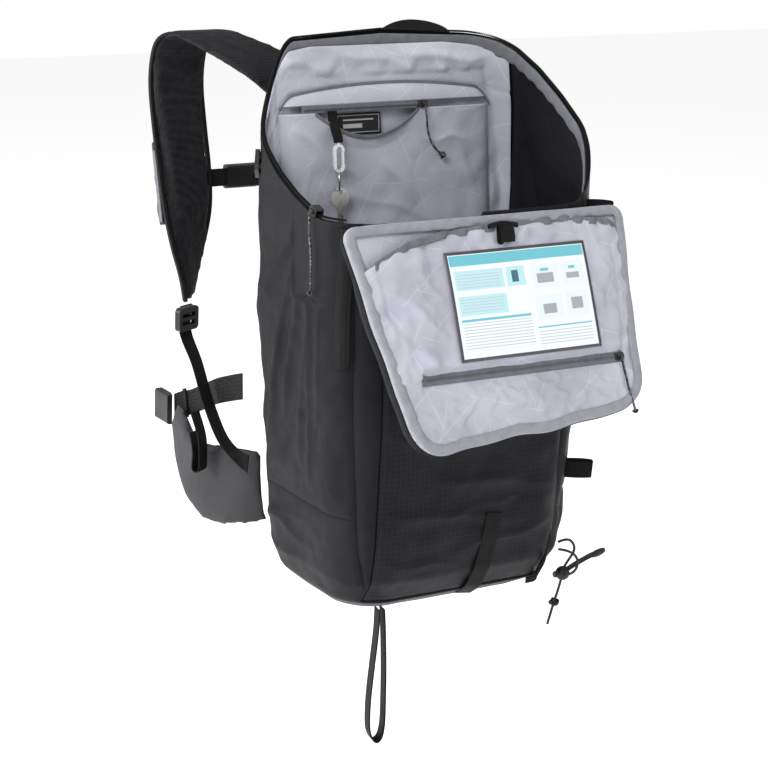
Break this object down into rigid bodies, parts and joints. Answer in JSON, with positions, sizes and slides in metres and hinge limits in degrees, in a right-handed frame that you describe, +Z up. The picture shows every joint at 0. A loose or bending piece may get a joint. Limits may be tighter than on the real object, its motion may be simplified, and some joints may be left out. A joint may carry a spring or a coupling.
{
  "type": "avalanche airbag backpack",
  "caption": "Dark alpine backpack with an open hinged lid, light lining, padded straps, hip fins, ice axe loop and an inner airbag inflator.",
  "frame": {"origin": "the haul loop's hanging point, which the pack is held by", "axes": "+Z up, +Y towards the wearer's side, so that -Y faces out of the front panel, +X towards the wearer's right"},
  "size_m": [0.4, 0.5451, 0.7323],
  "materials": {
    "shell_cloth": "coated woven nylon, near black, satin",
    "ripstop_cloth": "ripstop nylon, near black with a fine grid",
    "lining_cloth": "light grey printed lining cloth",
    "grey_binding": "woven grey binding tape",
    "zip_tape": "woven zip tape with moulded teeth",
    "webbing": "woven polyester webbing",
    "strap_cloth": "padded strap cloth over foam",
    "mesh_pad": "moulded foam under mesh cloth",
    "card_print": "laminated printed card",
    "cord_black": "braided cord with light flecks",
    "buckle_plastic": "moulded acetal",
    "slider_metal": "black lacquered zinc",
    "key_metal": "nickel-plated steel",
    "clip_white": "white lacquered wire",
    "sheet_plastic": "polyethylene sheet",
    "stay_alloy": "bent alloy bar",
    "airbag_cloth": "thin coated nylon, folded",
    "inflator_plastic": "moulded inflator body",
    "cartridge_steel": "painted steel bottle",
    "grip_plastic": "moulded grip"
  },
  "bodies": {
    "pack": {"base_panel": "ripstop_cloth", "front_panel": "ripstop_cloth", "corner_gussets": "ripstop_cloth", "side_panel_left": "shell_cloth", "side_panel_right": "shell_cloth", "lower_side_panels": "ripstop_cloth", "back_shell": "shell_cloth", "rim_zip": "zip_tape", "rim_binding": "grey_binding", "back_lining": "lining_cloth", "organiser_pocket": "lining_cloth", "organiser_zip": "zip_tape", "key_strap": "webbing", "airbag_pack": "airbag_cloth", "inflator_body": "inflator_plastic", "frame_sheet": "sheet_plastic", "frame_stays": "stay_alloy", "back_pad": "mesh_pad", "shoulder_strap_left": "strap_cloth", "shoulder_strap_right": "strap_cloth", "ladder_locks": "buckle_plastic", "strap_webbing": "webbing", "sternum_buckle_female": "buckle_plastic", "trigger_pocket": "strap_cloth", "trigger_cable": "cord_black", "haul_loop": "webbing", "outer_webbing": "webbing", "compression_buckle": "buckle_plastic", "front_zip": "zip_tape", "tip_cord": "cord_black"},
    "lid": {"lid_shell": "shell_cloth", "lid_lining": "lining_cloth", "lid_pocket": "lining_cloth", "lid_zip": "zip_tape", "lid_binding": "grey_binding", "safety_card": "card_print", "lid_hook_loop": "webbing"},
    "lid_zip_slider": {"lid_pocket_slider": "slider_metal", "lid_pocket_pull": "cord_black"},
    "rim_slider": {"rim_slider_left": "slider_metal", "rim_pull_left": "cord_black"},
    "organiser_runner": {"organiser_slider": "slider_metal", "organiser_pull": "cord_black"},
    "clip": {"key_clip": "clip_white"},
    "clip_gate": {"key_clip_gate": "clip_white"},
    "ring": {"key_ring": "key_metal"},
    "key_blade": {"key": "key_metal"},
    "cartridge": {"gas_cartridge": "cartridge_steel"},
    "hip_left": {"hip_fin_left": "strap_cloth", "hip_webbing_left": "webbing", "hip_buckle_female": "buckle_plastic"},
    "hip_right": {"hip_fin_right": "strap_cloth", "hip_webbing_right": "webbing", "hip_buckle_male": "buckle_plastic"},
    "sternum_right": {"sternum_buckle_male": "buckle_plastic", "sternum_strap_right": "webbing"},
    "trigger": {"trigger_handle": "grip_plastic"},
    "axe_loop": {"ice_axe_loop": "webbing"},
    "cord_lock": {"cord_lock_body": "buckle_plastic"},
    "cord_lock_button": {"cord_lock_plunger": "buckle_plastic"}
  },
  "joints": [
    {"name": "lid_hinge", "type": "hinge", "parent": "pack", "child": "lid", "pos_m": [-0.052, -0.2335, -0.157], "axis": [1, 0, 0], "range_deg": [-180, 0]},
    {"name": "lid_slider_run", "type": "slide", "parent": "lid", "child": "lid_zip_slider", "axis": [-1, 0, 0], "range_m": [0, 0.22]},
    {"name": "rim_slider_run", "type": "slide", "parent": "pack", "child": "rim_slider", "axis": [0, 0.9659, 0.2588], "range_m": [0, 0.03]},
    {"name": "organiser_slider_run", "type": "slide", "parent": "pack", "child": "organiser_runner", "axis": [-1, 0, 0], "range_m": [0, 0.095]},
    {"name": "key_clip_swing", "type": "hinge", "parent": "pack", "child": "clip", "pos_m": [-0.124, -0.06106, -0.10516], "axis": [1, 0, 0], "range_deg": [-40, 0]},
    {"name": "clip_gate_press", "type": "hinge", "parent": "clip", "child": "clip_gate", "pos_m": [-0.119, -0.06395, -0.13], "axis": [0, -0.9933, 0.1158], "range_deg": [0, 22], "stiffness_Nm_per_rad": 0.02},
    {"name": "key_ring_swing", "type": "hinge", "parent": "clip", "child": "ring", "pos_m": [-0.124, -0.06439, -0.13377], "axis": [0.5, 0.8602, -0.1003], "range_deg": [-7, 7]},
    {"name": "key_swing", "type": "hinge", "parent": "ring", "child": "key_blade", "pos_m": [-0.124, -0.06734, -0.1591], "axis": [0, 0.9933, -0.1158], "range_deg": [-40, 40]},
    {"name": "cartridge_withdraw", "type": "slide", "parent": "pack", "child": "cartridge", "axis": [0, 0, -1], "range_m": [0, 0.02]},
    {"name": "hip_fin_left_wrap", "type": "hinge", "parent": "pack", "child": "hip_left", "pos_m": [-0.17, -0.008, -0.5], "axis": [-0.2531, 0.065, 0.9653], "range_deg": [-20, 2]},
    {"name": "hip_fin_right_wrap", "type": "hinge", "parent": "pack", "child": "hip_right", "pos_m": [0.066, -0.008, -0.5], "axis": [0.2531, 0.065, 0.9653], "range_deg": [-2, 20]},
    {"name": "sternum_release", "type": "slide", "parent": "pack", "child": "sternum_right", "axis": [1, 0, 0], "range_m": [0, 0.022]},
    {"name": "trigger_pull", "type": "slide", "parent": "pack", "child": "trigger", "axis": [0, -0.2147, -0.9767], "range_m": [0, 0.036]},
    {"name": "axe_loop_swing", "type": "hinge", "parent": "pack", "child": "axe_loop", "pos_m": [-0.153, -0.227, -0.57], "axis": [1, 0, 0], "range_deg": [-60, 4]},
    {"name": "cord_lock_run", "type": "slide", "parent": "pack", "child": "cord_lock", "axis": [0.0698, -0.1388, 0.9879], "range_m": [-0.0015, 0.0015]},
    {"name": "cord_lock_press", "type": "slide", "parent": "cord_lock", "child": "cord_lock_button", "axis": [1, 0, 0], "range_m": [0, 0.002], "stiffness_N_per_m": 1500}
  ]
}
